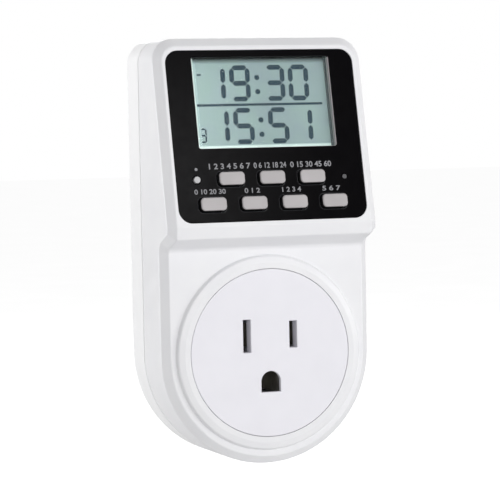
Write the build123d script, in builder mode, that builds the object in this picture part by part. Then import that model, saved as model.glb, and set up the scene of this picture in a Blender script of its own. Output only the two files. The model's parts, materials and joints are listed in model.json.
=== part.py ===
from build123d import *
from math import cos, radians, sin, tan
import os

# Plug-in timer switch: a tilted display head with seven keys over a switched three-pin outlet.
# Millimetres. The origin is on the wall face, midway between the two blades. +X is to the right
# seen from the front, +Y points into the wall and +Z is up.

os.makedirs("parts", exist_ok=True)

# ---- Driving dimensions ---------------------------------------------------------------------

# Standard three-pin plug and outlet
blade_pitch = 12.7
ground_drop = 11.89  # ground pin below the blade line
blade_t = 1.52
blade_length = 17.5
line_blade_w = 6.35
neutral_blade_w = 7.95
blade_hole_r = 1.6
blade_hole_y = 11.7
ground_r = 2.38
ground_root_r, ground_root_length = 2.25, 0.3  # root that narrows from just outside the wall
ground_length = 21.0
ground_tip_r = 1.7
ground_collar, shoulder_extra = 1.4, 1.0  # what keeps the pin and the blades in the clamp
blade_tip, blade_tip_bevel = 1.2, 0.5

# Housing, seen from the front
body_w = 57.0
body_top = 56.4
body_bottom = -53.4
corner_r = 6.0
wall = 2.0

# Housing, seen from the side
depth = 26.0  # wall face to the lower front face
seam = 10.4  # wall face to the parting line of the two shells
edge_bevel = 2.0  # bevel of the front edges
bevel_edge_r = 0.6
back_edge_r = 1.6
seam_chamfer = 0.35
lip_t = 1.0
lip_h = 1.6
gap = 0.1  # between fixed pieces that fit together

# Tilted display head
tilt = radians(12.4)
panel_y, panel_z = -28.1, 31.5  # middle of the face panel
panel_w, panel_h, panel_r = 51.2, 44.6, 3.5
panel_t = 1.6
panel_inset = 0.15  # the panel lies this much below its white rim
head_lip = 3.9  # panel's lower edge to the head's lower edge
head_foot_z = 2.8  # where the head's underside meets the lower face
head_bevel_up, head_bevel_back = 2.7, 1.0  # bevel of the lower edge: towards the panel and the wall
head_foot_r = 1.4
panel_edge_bevel, key_hole_bevel = 0.12, 0.3
panel_wall = 3.4  # panel's front plane to the inside of the head
backing_w, backing_h = 54.0, 48.0  # thicker wall behind the panel

# Display, as depths behind the panel's front plane
window_w, window_h, window_r, window_v = 37.7, 23.9, 0.6, 8.7
window_u = 0.28  # the opening lies this much to the right of the display behind it
pane_t = 0.8
pane_step = 1.0
lcd_w, lcd_h = 39.6, 26.0
lcd_depth, lcd_t = 2.6, 2.0
lcd_margin = 2.5  # bare strip of the front glass above and below the rear glass
reflector_t = 0.2
holder_t = 0.8
strip_w, strip_h, strip_inset = 36.6, 1.2, 1.6
board_depth, board_t = 9.1, 1.2
board_w, board_h = 41.6, 44.0
board_foot_w, board_foot_h, board_foot_v = 49.4, 20.0, -12.0  # wider part behind the keys

# Keys and their switches
key_w, key_h, key_r = 6.8, 3.35, 1.0
key_proud, reset_proud = 1.45, 0.4
key_gap = 0.2
key_pitch = 11.0
upper_keys_v, lower_keys_v = -11.29, -17.77
key_edge_r = 0.35
key_flange_w, key_flange_h = 0.65, 0.7
flange_front, flange_back = 3.7, 4.5
switch_size, switch_depth = 6.0, 5.6
plunger_r, plunger_gap = 1.7, 0.1
plunger_sunk, plunger_travel = 1.0, 0.6
reset_at = (-20.05, -11.28)
reset_r, reset_edge_r, reset_flange_r = 0.87, 0.2, 1.8
reset_plunger_r, reset_switch_size = 1.1, 4.4
lamp_at = (20.3, -11.4)
lamp_r = 0.6
pipe_length, pipe_flange_r, pipe_flange_t = 5.0, 1.3, 0.8

# Outlet
socket_z = -24.5  # middle of the outlet's disc
disc_r, disc_t = 21.6, 2.6
disc_gap = 0.12
boss_r, boss_h = 25.2, 1.6
boss_flat_r = 23.2
boss_shoulder_r, boss_shoulder_h = 24.85, 1.15
boss_edge_r = 0.5
boss_foot_r = 0.3
ledge_t = 1.0
spigot_r, spigot_t, spigot_h = 18.8, 1.6, 3.0
slot_v = 4.5  # blade slots above the middle of the disc
slot_w = 2.1
neutral_slot_h, line_slot_h = 8.5, 6.95
slot_bevel = 0.12
ground_hole_w, ground_hole_h = 5.3, 5.5
block_back = 8.6  # wall face to the back of the contact block
blade_pocket, ground_pocket = (5.2, 9.4), (8.6, 7.6)
blade_pocket_wall, ground_pocket_wall = 3.2, 1.2  # between the disc's face and the pocket
cover_t, cover_inset = 1.8, 0.2

# Conductors, as distances in front of the wall face
strap_back, strap_t = 5.2, 0.8
strap_w, narrow_strap_w, ground_strap_w = 5.0, 4.0, 3.0
strap_end = 2.0  # strap beyond the middle of a joint
clamp_front, shoulder_front = 4.6, 3.2
clamp_w, clamp_h, clamp_r, clamp_z = 27.0, 24.0, 1.5, -5.0

# Boards and fixings
power_board_w, power_board_h = 47.0, 34.0
power_board_z = 25.6
power_board_back, power_board_t = 3.6, 1.6
upper_post, upper_post_front = (23.7, 49.0), 21.5
lower_post, lower_post_front = (16.2, -41.2), 24.5
post_r, post_bore_r, post_bore_depth = 2.6, 1.35, 12.0
tube_r, tube_front = 3.5, 8.6
head_seat = 5.5  # wall face to the seat of the housing screw's head
head_bore_r, shank_bore_r = 2.55, 1.5
board_boss_r, board_post_r, peg_r = 1.9, 2.4, 1.5
pilot_r, screw_hole_r = 0.85, 1.05  # for the small screws

# ---- Planes and small helpers ---------------------------------------------------------------

front = Plane.XZ  # an offset runs from the wall face towards the user
panel = Plane(
    origin=(0, panel_y, panel_z), x_dir=(1, 0, 0), z_dir=(0, -cos(tilt), sin(tilt))
)
lower_face = Plane(origin=(0, -depth, socket_z), x_dir=(1, 0, 0), z_dir=(0, -1, 0))
disc_face = lower_face.offset(boss_h)

blade_x = blade_pitch / 2
slot_z = socket_z + slot_v
ground_slot_v = slot_v - ground_drop
head_edge_v = -panel_h / 2 - head_lip
head_edge = Vector(panel_y + head_edge_v * sin(tilt), panel_z + head_edge_v * cos(tilt))
head_foot = Vector(-depth, head_foot_z)


def save(piece, name):
    """Label a finished piece and write its STEP file."""
    piece.part.label = name
    export_step(piece.part, f"parts/{name}.step")


def behind_panel(distance):
    """Plane parallel to the panel, the distance behind its front plane."""
    return panel.offset(-distance)


def mirrored(point):
    """The point and its twin on the other side of the middle plane."""
    return [point, (-point[0], point[1])]


def outline(plane, inset):
    """Housing seen from the front, moved in by inset: flat sides, round shoulders, half-round foot."""
    half = body_w / 2 - inset
    top = body_top - inset
    arc_z = body_bottom + body_w / 2
    with BuildSketch(plane) as shape:
        with BuildLine():
            Polyline((-half, arc_z), (-half, top), (half, top), (half, arc_z))
            ThreePointArc((half, arc_z), (0, arc_z - half), (-half, arc_z))
        make_face()
        fillet(shape.vertices().group_by(Axis.Y)[-1], corner_r - inset)
    return shape.sketch


def side_view(inset):
    """Housing seen from the side, moved in by inset: lower face, sloping underside, tilted head.

    A bevel cuts the corner between the head's front and its underside.
    """
    beyond = 5.0
    high = body_top + beyond
    low = body_bottom - beyond
    with BuildSketch(Plane.YZ) as shape:
        with BuildLine():
            Polyline(
                (beyond, low),
                (beyond, high),
                (panel_y + (high - panel_z) * tan(tilt), high),
                head_edge + head_bevel_up * Vector(sin(tilt), cos(tilt)),
                head_edge + head_bevel_back * (head_foot - head_edge).normalized(),
                head_foot,
                (-depth, low),
                close=True,
            )
        make_face()
        fillet(shape.vertices().sort_by_distance(head_foot)[0], head_foot_r)
        if inset:
            offset(amount=-inset, kind=Kind.INTERSECTION)
    return shape.sketch


def head_solid(inset, back):
    """Solid of the front shell, its walls moved in by inset, from y = -back to the front."""
    with BuildPart() as solid:
        extrude(outline(front.offset(back), inset), amount=2 * depth)
        extrude(side_view(inset), amount=body_w, both=True, mode=Mode.INTERSECT)
    return solid.part


# ---- Front shell ----------------------------------------------------------------------------

board_screw_length, power_screw_length, cover_screw_length = 4.8, 3.8, 6.5

shell_solid = head_solid(0, seam)
shell_cavity = head_solid(wall, seam - 1)
top_posts = mirrored(upper_post)
bottom_posts = mirrored(lower_post)
board_bosses = [(x, v) for x in (-22.9, 22.9) for v in (-5.4, -19.6)]
key_places = [(i * key_pitch, upper_keys_v) for i in (-1, 0, 1)]
key_places += [(i * key_pitch, lower_keys_v) for i in (-1.5, -0.5, 0.5, 1.5)]

shell_skin = shell_solid.solid().shell()


def beside_head_edge(edge):
    """Whether the edge is at the bevel under the panel."""
    middle = edge.center()
    return (Vector(middle.Y, middle.Z) - head_edge).length < head_bevel_up + bevel_edge_r


with BuildPart() as front_housing:
    add(shell_solid)
    # the whole front rim is one chain of edges
    rim = front_housing.edges().filter_by(lambda e: e.center().Y < -seam - 0.01)
    rim = rim - rim.filter_by(Axis.Y)
    rim = rim - rim.filter_by(Axis.X).filter_by(lambda e: e.center().Z < body_top - 1)
    chamfer(rim, edge_bevel)
    bevels = front_housing.faces().filter_by(
        lambda f: shell_skin.distance_to(f.center(CenterOf.GEOMETRY)) > bevel_edge_r / 2
    )
    other_edges = (front_housing.faces() - bevels).edges()
    soft = ShapeList(e for e in bevels.edges() if e in other_edges)
    soft += [e for e in front_housing.edges().filter_by(beside_head_edge) if e not in soft]
    fillet(soft, bevel_edge_r)
    # boss round the outlet: a flat ring, a gentle slope, and a steep side
    with BuildSketch(Plane.XY.offset(socket_z)):
        with BuildLine():
            Polyline(
                (0, -depth + wall),
                (boss_r, -depth + wall),
                (boss_r, -depth),
                (boss_shoulder_r, -depth - boss_shoulder_h),
                (boss_flat_r, -depth - boss_h),
                (0, -depth - boss_h),
                close=True,
            )
        make_face()
    revolve(axis=Axis((0, 0, socket_z), (0, 1, 0)))
    boss_shoulder = front_housing.edges().filter_by(GeomType.CIRCLE).filter_by(
        lambda e: abs(e.radius - boss_shoulder_r) < 0.01
    )
    fillet(boss_shoulder, boss_edge_r)
    boss_foot = front_housing.edges().filter_by(GeomType.CIRCLE).filter_by(
        lambda e: abs(e.radius - boss_r) < 0.01 and abs(e.center().Y + depth) < 0.01
    )
    fillet(boss_foot, boss_foot_r)
    add(shell_cavity, mode=Mode.SUBTRACT)
    # thicker wall behind the panel and ledge behind the disc
    with BuildSketch(behind_panel(wall - gap)):
        Rectangle(backing_w, backing_h)
    extrude(amount=wall - gap - panel_wall)
    with BuildSketch(lower_face.offset(-wall)):
        Circle(disc_r + 2 * wall)
        Circle(spigot_r, mode=Mode.SUBTRACT)
    extrude(amount=-ledge_t)
    # recess for the panel, and the openings through the wall behind it
    with BuildSketch(panel):
        RectangleRounded(panel_w + 2 * gap, panel_h + 2 * gap, panel_r + gap)
    extrude(amount=-panel_t - panel_inset, mode=Mode.SUBTRACT)
    with BuildSketch(behind_panel(panel_t)):
        with Locations((0, window_v)):
            Rectangle(lcd_w + 2 * holder_t + 6 * gap, lcd_h + 2 * holder_t + 6 * gap)
        with Locations(key_places):
            RectangleRounded(key_w + 2 * key_gap, key_h + 2 * key_gap, key_r + key_gap)
        with Locations(reset_at):
            Circle(reset_r + key_gap)
        with Locations(lamp_at):
            Circle(lamp_r + gap)
    extrude(amount=-wall - gap, mode=Mode.SUBTRACT)
    # bore for the outlet's disc, with a narrower one through the ledge
    with BuildSketch(disc_face):
        Circle(disc_r + disc_gap)
    extrude(amount=-disc_t, mode=Mode.SUBTRACT)
    with BuildSketch(disc_face):
        Circle(spigot_r + 2 * gap)
    extrude(amount=-2 * disc_t, mode=Mode.SUBTRACT)
    # posts for the housing screws and bosses for the control board
    with BuildSketch(front.offset(tube_front + 2 * gap)):
        with Locations(top_posts):
            Circle(post_r)
    extrude(amount=upper_post_front - tube_front - 2 * gap)
    with BuildSketch(front.offset(tube_front + 2 * gap)):
        with Locations(bottom_posts):
            Circle(post_r)
    extrude(amount=lower_post_front - tube_front - 2 * gap)
    with BuildSketch(front.offset(tube_front)):
        with Locations(top_posts + bottom_posts):
            Circle(post_bore_r)
    extrude(amount=post_bore_depth, mode=Mode.SUBTRACT)
    with BuildSketch(behind_panel(panel_wall - gap)):
        with Locations(board_bosses):
            Circle(board_boss_r)
    extrude(amount=panel_wall - gap - board_depth)
    with BuildSketch(behind_panel(board_depth)):
        with Locations(board_bosses):
            Circle(pilot_r)
    extrude(amount=board_screw_length - board_t + 2 * gap, mode=Mode.SUBTRACT)
    # fine bevel along the parting line
    parting = front_housing.faces().filter_by(Axis.Y).filter_by(
        lambda f: abs(f.center().Y + seam) < 0.01
    )
    chamfer(parting.face().outer_wire().edges(), seam_chamfer)
save(front_housing, "front_housing")

# ---- Rear shell -----------------------------------------------------------------------------

board_posts = [(x, z) for x in (-20.5, 20.5) for z in (11.6, 39.6)]
clamp_pegs = mirrored((11.0, -12.0))

with BuildPart() as rear_cover:
    extrude(outline(front, 0), amount=seam)
    back_rim = rear_cover.faces().sort_by(Axis.Y)[-1].edges()
    fillet(back_rim, back_edge_r)
    parting_rim = rear_cover.faces().sort_by(Axis.Y)[0].edges()
    chamfer(parting_rim, seam_chamfer)
    extrude(outline(front.offset(wall), wall), amount=seam, mode=Mode.SUBTRACT)
    # lip that centres the front shell, cleared round the screw posts
    lip_plane = front.offset(seam - lip_h)
    extrude(outline(lip_plane, wall - 2 * gap), amount=lip_h - gap)
    extrude(outline(lip_plane, wall + gap), amount=2 * lip_h)
    lip_hollow = outline(front.offset(wall), wall + gap + lip_t)
    extrude(lip_hollow, amount=seam, mode=Mode.SUBTRACT)
    with BuildSketch(lip_plane):
        with Locations(top_posts + bottom_posts):
            Circle(post_r + 3 * gap)
    extrude(amount=3 * lip_h, mode=Mode.SUBTRACT)
    # counterbored tubes for the housing screws
    with BuildSketch(front.offset(wall / 2)):
        with Locations(top_posts + bottom_posts):
            Circle(tube_r)
    extrude(amount=tube_front - wall / 2)
    with BuildSketch(front):
        with Locations(top_posts + bottom_posts):
            Circle(head_bore_r)
    extrude(amount=head_seat, mode=Mode.SUBTRACT)
    with BuildSketch(front):
        with Locations(top_posts + bottom_posts):
            Circle(shank_bore_r)
    extrude(amount=seam, mode=Mode.SUBTRACT)
    # posts for the power board and pegs for the blade clamp
    with BuildSketch(front.offset(wall - gap)):
        with Locations(board_posts):
            Circle(board_post_r)
    extrude(amount=power_board_back - wall + gap)
    with BuildSketch(front.offset(power_board_back)):
        with Locations(board_posts):
            Circle(pilot_r)
    extrude(amount=power_board_t - power_screw_length - 4 * gap, mode=Mode.SUBTRACT)
    with BuildSketch(front.offset(wall - gap)):
        with Locations(clamp_pegs):
            Circle(peg_r)
    extrude(amount=clamp_front - wall + gap)
    # holes for the plug
    with BuildSketch(front):
        with Locations((-blade_x, 0)):
            Rectangle(blade_t + 3 * gap, neutral_blade_w + 3 * gap)
        with Locations((blade_x, 0)):
            Rectangle(blade_t + 3 * gap, line_blade_w + 3 * gap)
        with Locations((0, -ground_drop)):
            Circle(ground_r + 1.5 * gap)
    extrude(amount=wall, mode=Mode.SUBTRACT)
save(rear_cover, "rear_cover")

# ---- Face panel and display -----------------------------------------------------------------

with BuildPart() as display_bezel:
    with BuildSketch(behind_panel(panel_inset)):
        RectangleRounded(panel_w, panel_h, panel_r)
    extrude(amount=-panel_t)
    with BuildSketch(behind_panel(panel_inset)):
        with Locations((window_u, window_v)):
            RectangleRounded(window_w, window_h, window_r)
        with Locations(key_places):
            RectangleRounded(key_w + 2 * key_gap, key_h + 2 * key_gap, key_r + key_gap)
        with Locations(reset_at):
            Circle(reset_r + key_gap)
        with Locations(lamp_at):
            Circle(lamp_r + gap)
    extrude(amount=-panel_t, mode=Mode.SUBTRACT)
    for of_keys, bevel in ((True, key_hole_bevel), (False, panel_edge_bevel)):
        shown_face = display_bezel.faces().filter_by(lambda f: f.normal_at().Y < -0.9).face()
        rims = shown_face.wires().filter_by(lambda w: (key_h < w.length / 4 < key_w) == of_keys)
        chamfer(rims.edges(), bevel)
    with BuildSketch(behind_panel(panel_inset + panel_t)):
        with Locations((0, window_v)):
            Rectangle(window_w + 2 * pane_step, window_h + 2 * pane_step)
    extrude(amount=pane_t, mode=Mode.SUBTRACT)
save(display_bezel, "display_bezel")

with BuildPart() as display_window:
    with BuildSketch(behind_panel(panel_inset + panel_t)):
        with Locations((0, window_v)):
            Rectangle(window_w + 2 * pane_step - 2 * gap, window_h + 2 * pane_step - 2 * gap)
    extrude(amount=pane_t)
save(display_window, "display_window")

with BuildPart() as lcd_glass:
    with BuildSketch(behind_panel(lcd_depth)):
        with Locations((0, window_v)):
            Rectangle(lcd_w, lcd_h)
    extrude(amount=-lcd_t / 2)
    with BuildSketch(behind_panel(lcd_depth + lcd_t / 2)):
        with Locations((0, window_v)):
            Rectangle(lcd_w, lcd_h - 2 * lcd_margin)
    extrude(amount=-lcd_t / 2)
save(lcd_glass, "lcd_glass")

with BuildPart() as lcd_reflector:
    with BuildSketch(behind_panel(lcd_depth + lcd_t)):
        with Locations((0, window_v)):
            Rectangle(lcd_w - 2, lcd_h - 2 * lcd_margin - 4 * gap)
    extrude(amount=-reflector_t)
save(lcd_reflector, "lcd_reflector")

with BuildPart() as lcd_holder:
    with BuildSketch(behind_panel(lcd_depth)):
        with Locations((0, window_v)):
            Rectangle(lcd_w + 2 * holder_t + 2 * gap, lcd_h + 2 * holder_t + 2 * gap)
            Rectangle(lcd_w + 2 * gap, lcd_h + 2 * gap, mode=Mode.SUBTRACT)
    extrude(amount=lcd_depth - board_depth)
    # cross walls behind the reflector keep the two rubber strips apart
    with BuildSketch(behind_panel(board_depth)):
        with Locations((0, window_v)):
            Rectangle(lcd_w + 3 * gap, lcd_h - 2 * lcd_margin - 4 * gap)
            Rectangle(lcd_w - 4, lcd_h - 2 * lcd_margin - 2, mode=Mode.SUBTRACT)
    extrude(amount=board_depth - lcd_depth - lcd_t - reflector_t)
save(lcd_holder, "lcd_holder")

with BuildPart() as zebra_strips:
    with BuildSketch(behind_panel(board_depth)):
        with Locations((0, window_v)):
            with Locations((0, lcd_h / 2 - strip_inset), (0, strip_inset - lcd_h / 2)):
                Rectangle(strip_w, strip_h)
    extrude(amount=board_depth - lcd_depth - lcd_t / 2)
save(zebra_strips, "zebra_strips")

# ---- Keys, each with the plunger of its switch ----------------------------------------------


def key_piece(place):
    """One key: rounded cap that stands proud of the panel, with a flange that keeps it in."""
    with BuildPart() as key:
        with BuildSketch(behind_panel(flange_front)):
            with Locations(place):
                RectangleRounded(key_w, key_h, key_r)
        extrude(amount=flange_front + key_proud)
        fillet(key.faces().sort_by(Axis.Y)[0].edges(), key_edge_r)
        with BuildSketch(behind_panel(flange_front)):
            with Locations(place):
                Rectangle(key_w + 2 * key_flange_w, key_h + 2 * key_flange_h)
        extrude(amount=flange_front - flange_back)
    return key


def plunger_piece(place, radius):
    """The pin that stands out of a switch and is pressed by the key in front of it."""
    with BuildPart() as plunger:
        with BuildSketch(behind_panel(flange_back)):
            with Locations(place):
                Circle(radius)
        extrude(amount=flange_back - switch_depth - plunger_sunk)
    return plunger


for number, place in enumerate(key_places, 1):
    save(key_piece(place), f"key_{number}")
    save(plunger_piece(place, plunger_r), f"plunger_{number}")

with BuildPart() as reset_pin:
    with BuildSketch(behind_panel(flange_front)):
        with Locations(reset_at):
            Circle(reset_r)
    extrude(amount=flange_front + reset_proud)
    fillet(reset_pin.faces().sort_by(Axis.Y)[0].edges(), reset_edge_r)
    with BuildSketch(behind_panel(flange_front)):
        with Locations(reset_at):
            Circle(reset_flange_r)
    extrude(amount=flange_front - flange_back)
save(reset_pin, "reset_pin")
save(plunger_piece(reset_at, reset_plunger_r), "reset_plunger")

with BuildPart() as switch_bodies:
    with BuildSketch(behind_panel(board_depth)):
        with Locations(key_places):
            Rectangle(switch_size, switch_size)
        with Locations(reset_at):
            Rectangle(reset_switch_size, reset_switch_size)
    extrude(amount=board_depth - switch_depth)
    with BuildSketch(behind_panel(switch_depth)):
        with Locations(key_places):
            Circle(plunger_r + plunger_gap)
        with Locations(reset_at):
            Circle(reset_plunger_r + plunger_gap)
    extrude(amount=-plunger_sunk - plunger_travel, mode=Mode.SUBTRACT)
save(switch_bodies, "switch_bodies")

# ---- Control board --------------------------------------------------------------------------

board_back = board_depth + board_t

with BuildPart() as control_board:
    with BuildSketch(behind_panel(board_depth)):
        Rectangle(board_w, board_h)
        with Locations((0, board_foot_v)):
            Rectangle(board_foot_w, board_foot_h)
        with Locations(board_bosses):
            Circle(screw_hole_r, mode=Mode.SUBTRACT)
    extrude(amount=-board_t)
save(control_board, "control_board")

chip_at, chip_size, chip_t, chip_bevel = (4.0, 8.0), 9.0, 1.4, 0.3
with BuildPart() as controller_chip:
    with BuildSketch(behind_panel(board_back)):
        with Locations(chip_at):
            Rectangle(chip_size, chip_size)
    extrude(amount=-chip_t)
    chamfer(controller_chip.faces().sort_by(Axis.Y)[-1].edges(), chip_bevel)
save(controller_chip, "controller_chip")

crystal_r, crystal_length = 1.05, 6.5
crystal_end = panel.from_local_coords((-14.0, 4.0, -board_back - crystal_r))
with BuildPart() as crystal:
    with BuildSketch(Plane(origin=crystal_end, x_dir=(0, 1, 0), z_dir=(1, 0, 0))):
        Circle(crystal_r)
    extrude(amount=crystal_length)
save(crystal, "crystal")

battery_at = (-12.0, -14.5)
battery_r, battery_h, battery_edge_r = 5.8, 4.5, 0.6
with BuildPart() as backup_battery:
    with BuildSketch(behind_panel(board_back)):
        with Locations(battery_at):
            Circle(battery_r)
    extrude(amount=-battery_h)
    fillet(backup_battery.faces().sort_by(Axis.Y)[-1].edges(), battery_edge_r)
save(backup_battery, "backup_battery")

with BuildPart() as status_light_pipe:
    with BuildSketch(behind_panel(panel_inset)):
        with Locations(lamp_at):
            Circle(lamp_r)
    extrude(amount=-pipe_length)
    with BuildSketch(behind_panel(panel_wall)):
        with Locations(lamp_at):
            Circle(pipe_flange_r)
    extrude(amount=-pipe_flange_t)
save(status_light_pipe, "status_light_pipe")

led_w, led_h, led_t, led_bevel = 2.0, 3.0, 1.4, 0.2
with BuildPart() as status_led:
    with BuildSketch(behind_panel(board_depth)):
        with Locations(lamp_at):
            Rectangle(led_w, led_h)
    extrude(amount=led_t)
    chamfer(status_led.faces().sort_by(Axis.Y)[0].edges(), led_bevel)
save(status_led, "status_led")

# ---- Outlet ---------------------------------------------------------------------------------

disc_front_y = -depth - boss_h
block_top, block_foot = 9.9, -14.5  # contact block above and below the middle of the disc
shoulder = -1.5  # where the block narrows towards the ground contact
block_w, foot_w = 26.0, 14.0
leaf_t, leaf_flare, leaf_h = 0.6, 0.8, 6.0
ground_leaf_gap = 2.25  # half the space between the ground contact's leaves
blade_leaf_gap = 0.65
tip_depth, throat_depth = 4.0, 6.0  # leaves' tips and narrowest place, behind the disc's face
tail_t, ground_tail_t, tail_w = 0.8, 2.0, 4.0


def block_outline(inset):
    """Contact block seen from the front: wide round the blades, narrow round the ground contact."""
    Polyline(
        (-foot_w / 2 + inset, block_foot + inset),
        (-foot_w / 2 + inset, shoulder + inset),
        (-block_w / 2 + inset, shoulder + inset),
        (-block_w / 2 + inset, block_top - inset),
        (block_w / 2 - inset, block_top - inset),
        (block_w / 2 - inset, shoulder + inset),
        (foot_w / 2 - inset, shoulder + inset),
        (foot_w / 2 - inset, block_foot + inset),
        close=True,
    )


cover_screws = mirrored((11.2, slot_v))
block_plane = lower_face.offset(block_back - depth)

with BuildPart() as socket_insert:
    with BuildSketch(disc_face):
        Circle(disc_r)
    extrude(amount=-disc_t)
    with BuildSketch(disc_face.offset(-disc_t)):
        Circle(spigot_r)
        Circle(spigot_r - spigot_t, mode=Mode.SUBTRACT)
    extrude(amount=-spigot_h)
    with BuildSketch(block_plane):
        with BuildLine():
            block_outline(0)
        make_face()
    extrude(amount=depth + boss_h - disc_t - block_back)
    # pockets for the contacts, open at the back
    with BuildSketch(block_plane):
        with Locations((-blade_x, slot_v), (blade_x, slot_v)):
            Rectangle(*blade_pocket)
    extrude(amount=depth + boss_h - blade_pocket_wall - block_back, mode=Mode.SUBTRACT)
    with BuildSketch(block_plane):
        with Locations((0, ground_slot_v)):
            Rectangle(*ground_pocket)
    extrude(amount=depth + boss_h - ground_pocket_wall - block_back, mode=Mode.SUBTRACT)
    with BuildSketch(block_plane):
        with Locations(cover_screws):
            Circle(pilot_r)
    extrude(amount=cover_screw_length - cover_t + 2 * gap, mode=Mode.SUBTRACT)
    # slots for the blades and the D-shaped ground hole
    with BuildSketch(disc_face):
        with Locations((-blade_x, slot_v)):
            Rectangle(slot_w, neutral_slot_h)
        with Locations((blade_x, slot_v)):
            Rectangle(slot_w, line_slot_h)
        with Locations((0, ground_slot_v)):
            Circle(ground_hole_w / 2)
        with Locations((0, ground_slot_v - ground_hole_h / 4)):
            Rectangle(ground_hole_w, ground_hole_h / 2)
    extrude(amount=-blade_pocket_wall, mode=Mode.SUBTRACT)
    face_edges = socket_insert.faces().sort_by(Axis.Y)[0].edges()
    chamfer(face_edges, slot_bevel)
save(socket_insert, "socket_insert")

with BuildPart() as contact_cover:
    with BuildSketch(block_plane):
        with BuildLine():
            block_outline(cover_inset)
        make_face()
        # slits for the tails of the blade contacts, and a hole for the ground contact
        with Locations((-blade_x, slot_v), (blade_x, slot_v)):
            Rectangle(tail_t + 6 * gap, tail_w + 6 * gap, mode=Mode.SUBTRACT)
        with Locations((0, ground_slot_v)):
            Rectangle(2 * ground_leaf_gap + 2 * leaf_t + 9 * gap, leaf_h + 1, mode=Mode.SUBTRACT)
        with Locations(cover_screws):
            Circle(screw_hole_r, mode=Mode.SUBTRACT)
    extrude(amount=-cover_t)
save(contact_cover, "contact_cover")


def spring_contact(x, z, half_gap, web_y, tail):
    """Two sprung leaves half_gap either side of x, flared at their tips and joined by a web behind.

    A tail of that thickness reaches back from the web to the strap.
    """
    tip_y, throat_y = disc_front_y + tip_depth, disc_front_y + throat_depth
    outer = half_gap + leaf_t
    with BuildPart() as contact:
        with BuildSketch(Plane.XY.offset(z - leaf_h / 2)):
            with BuildLine():
                Polyline(
                    (x - outer - leaf_flare, tip_y),
                    (x - outer, throat_y),
                    (x - outer, web_y + leaf_t),
                    (x + outer, web_y + leaf_t),
                    (x + outer, throat_y),
                    (x + outer + leaf_flare, tip_y),
                    (x + half_gap + leaf_flare, tip_y),
                    (x + half_gap, throat_y),
                    (x + half_gap, web_y),
                    (x - half_gap, web_y),
                    (x - half_gap, throat_y),
                    (x - half_gap - leaf_flare, tip_y),
                    close=True,
                )
            make_face()
        extrude(amount=leaf_h)
        with BuildSketch(front.offset(strap_back + strap_t)):
            with Locations((x, z)):
                Rectangle(tail, tail_w)
        extrude(amount=-web_y - leaf_t / 2 - strap_back - strap_t)
    return contact


blade_web_y = -block_back - leaf_t
ground_web_y = -strap_back - strap_t - leaf_t
ground_z = slot_z - ground_drop
save(spring_contact(-blade_x, slot_z, blade_leaf_gap, blade_web_y, tail_t), "neutral_contact")
save(spring_contact(blade_x, slot_z, blade_leaf_gap, blade_web_y, tail_t), "line_contact")
save(
    spring_contact(0, ground_z, ground_leaf_gap, ground_web_y, ground_tail_t),
    "ground_contact",
)

# ---- Plug -----------------------------------------------------------------------------------


def blade_piece(x, width):
    """Flat blade with a bevelled tip, a hole near it, and shoulders that sit inside the wall."""
    half = width / 2
    with BuildPart() as blade:
        with BuildSketch(Plane.YZ.offset(x)):
            with BuildLine():
                Polyline(
                    (-strap_back, -half),
                    (blade_length - blade_tip, -half),
                    (blade_length, blade_tip - half),
                    (blade_length, half - blade_tip),
                    (blade_length - blade_tip, half),
                    (-strap_back, half),
                    close=True,
                )
            make_face()
            with Locations((blade_hole_y, 0)):
                Circle(blade_hole_r, mode=Mode.SUBTRACT)
            with Locations((-(wall + shoulder_front) / 2, 0)):
                Rectangle(shoulder_front - wall, width + 2 * shoulder_extra)
        extrude(amount=blade_t / 2, both=True)
        tip_edges = blade.edges().filter_by(Axis.Z).sort_by(Axis.Y)[-2:]
        chamfer(tip_edges, blade_tip_bevel)
    return blade


save(blade_piece(-blade_x, neutral_blade_w), "neutral_blade")
save(blade_piece(blade_x, line_blade_w), "line_blade")

ground_axis = Plane(origin=(0, 0, -ground_drop), x_dir=(1, 0, 0), z_dir=(0, 1, 0))
with BuildPart() as ground_pin:
    with BuildSketch(ground_axis.offset(ground_root_length)):
        Circle(ground_r)
    extrude(amount=ground_length - ground_root_length)
    fillet(ground_pin.edges().sort_by(Axis.Y)[-1], ground_tip_r)
    with Locations(ground_axis.offset(-strap_back)):
        Cone(
            ground_root_r, ground_r, strap_back + ground_root_length,
            align=(Align.CENTER, Align.CENTER, Align.MIN),
        )
    with BuildSketch(ground_axis.offset(-shoulder_front)):
        Circle(ground_r + ground_collar)
    extrude(amount=shoulder_front - wall)
save(ground_pin, "ground_pin")

with BuildPart() as blade_clamp:
    with BuildSketch(front.offset(wall)):
        with Locations((0, clamp_z)):
            RectangleRounded(clamp_w, clamp_h, clamp_r)
    extrude(amount=clamp_front - wall)
    with BuildSketch(front.offset(wall)):
        with Locations((-blade_x, 0)):
            Rectangle(blade_t + gap, neutral_blade_w + gap)
        with Locations((blade_x, 0)):
            Rectangle(blade_t + gap, line_blade_w + gap)
        with Locations((0, -ground_drop)):
            Circle(ground_r + gap / 2)
        with Locations(clamp_pegs):
            Circle(peg_r + gap)
    extrude(amount=clamp_front - wall, mode=Mode.SUBTRACT)
    # seats for the shoulders
    with BuildSketch(front.offset(wall)):
        with Locations((-blade_x, 0)):
            Rectangle(blade_t + gap, neutral_blade_w + 2 * shoulder_extra + gap)
        with Locations((blade_x, 0)):
            Rectangle(blade_t + gap, line_blade_w + 2 * shoulder_extra + gap)
        with Locations((0, -ground_drop)):
            Circle(ground_r + ground_collar + gap / 2)
    extrude(amount=shoulder_front - wall, mode=Mode.SUBTRACT)
save(blade_clamp, "blade_clamp")

# ---- Straps that carry the current ----------------------------------------------------------

strap_plane = front.offset(strap_back)
board_low = power_board_z - power_board_h / 2
strap_top = board_low + 3.4  # the straps are soldered to the power board's lower edge
strap_foot = slot_z - strap_end
output_x = 12.4

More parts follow.
